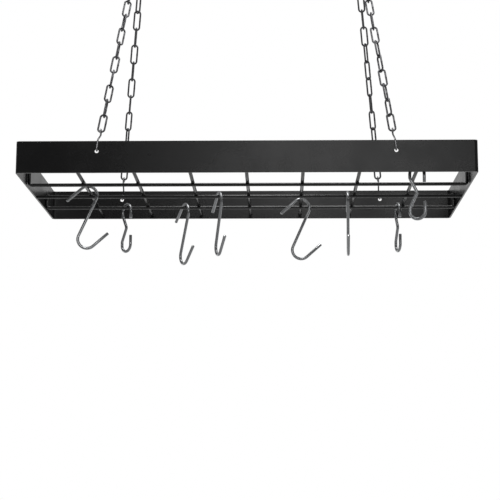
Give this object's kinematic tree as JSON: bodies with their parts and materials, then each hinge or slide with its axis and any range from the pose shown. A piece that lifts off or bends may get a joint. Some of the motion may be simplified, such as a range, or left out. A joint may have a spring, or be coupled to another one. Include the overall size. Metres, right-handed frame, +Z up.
{
  "type": "hanging pot rack",
  "caption": "Ceiling-hung rectangular pot rack: a black flat band round a wire grid, on chains from screw hooks, with loose chrome S hooks.",
  "frame": {"origin": "on the ceiling, midway between the two ceiling hooks' shanks", "axes": "+X along the rack, +Y towards its back and +Z up the ceiling hooks' shanks"},
  "size_m": [0.762, 0.388, 0.6883],
  "materials": {
    "band_paint": "satin black powder coat",
    "grid_paint": "semi-gloss black powder coat",
    "chain_steel": "dull nickel plate",
    "band_hook_chrome": "nickel plate",
    "ceiling_steel": "zinc plate",
    "pot_hook_chrome": "satin chrome plate"
  },
  "bodies": {
    "ceiling_hooks": {"left_ceiling_hook": "ceiling_steel", "right_ceiling_hook": "ceiling_steel"},
    "top_links": {"front_left_top_link": "chain_steel", "front_right_top_link": "chain_steel", "back_left_top_link": "chain_steel", "back_right_top_link": "chain_steel"},
    "left_chains": {"front_left_chain": "chain_steel", "back_left_chain": "chain_steel", "front_left_band_hook": "band_hook_chrome", "back_left_band_hook": "band_hook_chrome"},
    "rack": {"frame_band": "band_paint", "long_wire_front": "grid_paint", "long_wire_middle": "grid_paint", "long_wire_back": "grid_paint", "cross_wire_1": "grid_paint", "cross_wire_2": "grid_paint", "cross_wire_3": "grid_paint", "cross_wire_4": "grid_paint", "cross_wire_5": "grid_paint", "cross_wire_6": "grid_paint", "cross_wire_7": "grid_paint"},
    "right_chains": {"front_right_chain": "chain_steel", "back_right_chain": "chain_steel", "front_right_band_hook": "band_hook_chrome", "back_right_band_hook": "band_hook_chrome"},
    "hanging_hook_1": {"pot_hook_1": "pot_hook_chrome"},
    "hanging_hook_2": {"pot_hook_2": "pot_hook_chrome"},
    "hanging_hook_3": {"pot_hook_3": "pot_hook_chrome"},
    "hanging_hook_4": {"pot_hook_4": "pot_hook_chrome"},
    "hanging_hook_5": {"pot_hook_5": "pot_hook_chrome"},
    "hanging_hook_6": {"pot_hook_6": "pot_hook_chrome"},
    "hanging_hook_7": {"pot_hook_7": "pot_hook_chrome"},
    "hanging_hook_8": {"pot_hook_8": "pot_hook_chrome"}
  },
  "joints": [
    {"name": "swing", "type": "hinge", "parent": "ceiling_hooks", "child": "top_links", "pos_m": [0, 0, -0.02267], "axis": [1, 0, 0], "range_deg": [-15, 15]},
    {"name": "left_chain_sway", "type": "hinge", "parent": "top_links", "child": "left_chains", "pos_m": [-0.19602, 0, -0.05899], "axis": [0, 1, 0], "range_deg": [-5, 5]},
    {"name": "rack_level", "type": "hinge", "parent": "left_chains", "child": "rack", "pos_m": [-0.247, 0, -0.50726], "axis": [0, 1, 0], "range_deg": [-3.97, 3.97]},
    {"name": "right_chain_sway", "type": "hinge", "parent": "top_links", "child": "right_chains", "pos_m": [0.19602, 0, -0.05899], "axis": [0, 1, 0], "range_deg": [-5, 5]},
    {"name": "hook_1_swing", "type": "hinge", "parent": "rack", "child": "hanging_hook_1", "pos_m": [-0.282, -0.032, -0.53646], "axis": [0, 1, 0], "range_deg": [-25, 25]},
    {"name": "hook_2_swing", "type": "hinge", "parent": "rack", "child": "hanging_hook_2", "pos_m": [-0.227, 0.094, -0.54256], "axis": [1, 0, 0], "range_deg": [-25, 25]},
    {"name": "hook_3_swing", "type": "hinge", "parent": "rack", "child": "hanging_hook_3", "pos_m": [-0.12, 0.094, -0.54256], "axis": [1, 0, 0], "range_deg": [-25, 25]},
    {"name": "hook_4_swing", "type": "hinge", "parent": "rack", "child": "hanging_hook_4", "pos_m": [-0.053, 0, -0.54256], "axis": [1, 0, 0], "range_deg": [-25, 25]},
    {"name": "hook_5_swing", "type": "hinge", "parent": "rack", "child": "hanging_hook_5", "pos_m": [0.094, 0.08, -0.53646], "axis": [0, 1, 0], "range_deg": [-25, 25]},
    {"name": "hook_6_swing", "type": "hinge", "parent": "rack", "child": "hanging_hook_6", "pos_m": [0.176, 0, -0.54256], "axis": [1, 0, 0], "range_deg": [-25, 25]},
    {"name": "hook_7_swing", "type": "hinge", "parent": "rack", "child": "hanging_hook_7", "pos_m": [0.272, 0.094, -0.54256], "axis": [1, 0, 0], "range_deg": [-25, 25]},
    {"name": "hook_8_swing", "type": "hinge", "parent": "rack", "child": "hanging_hook_8", "pos_m": [0.282, -0.1685, -0.53646], "axis": [0, 1, 0], "range_deg": [-25, 25]}
  ],
  "couplings": [
    {"joint": "rack_level", "follows": "left_chain_sway", "ratio": -0.79362},
    {"joint": "right_chain_sway", "follows": "left_chain_sway", "ratio": 1}
  ]
}
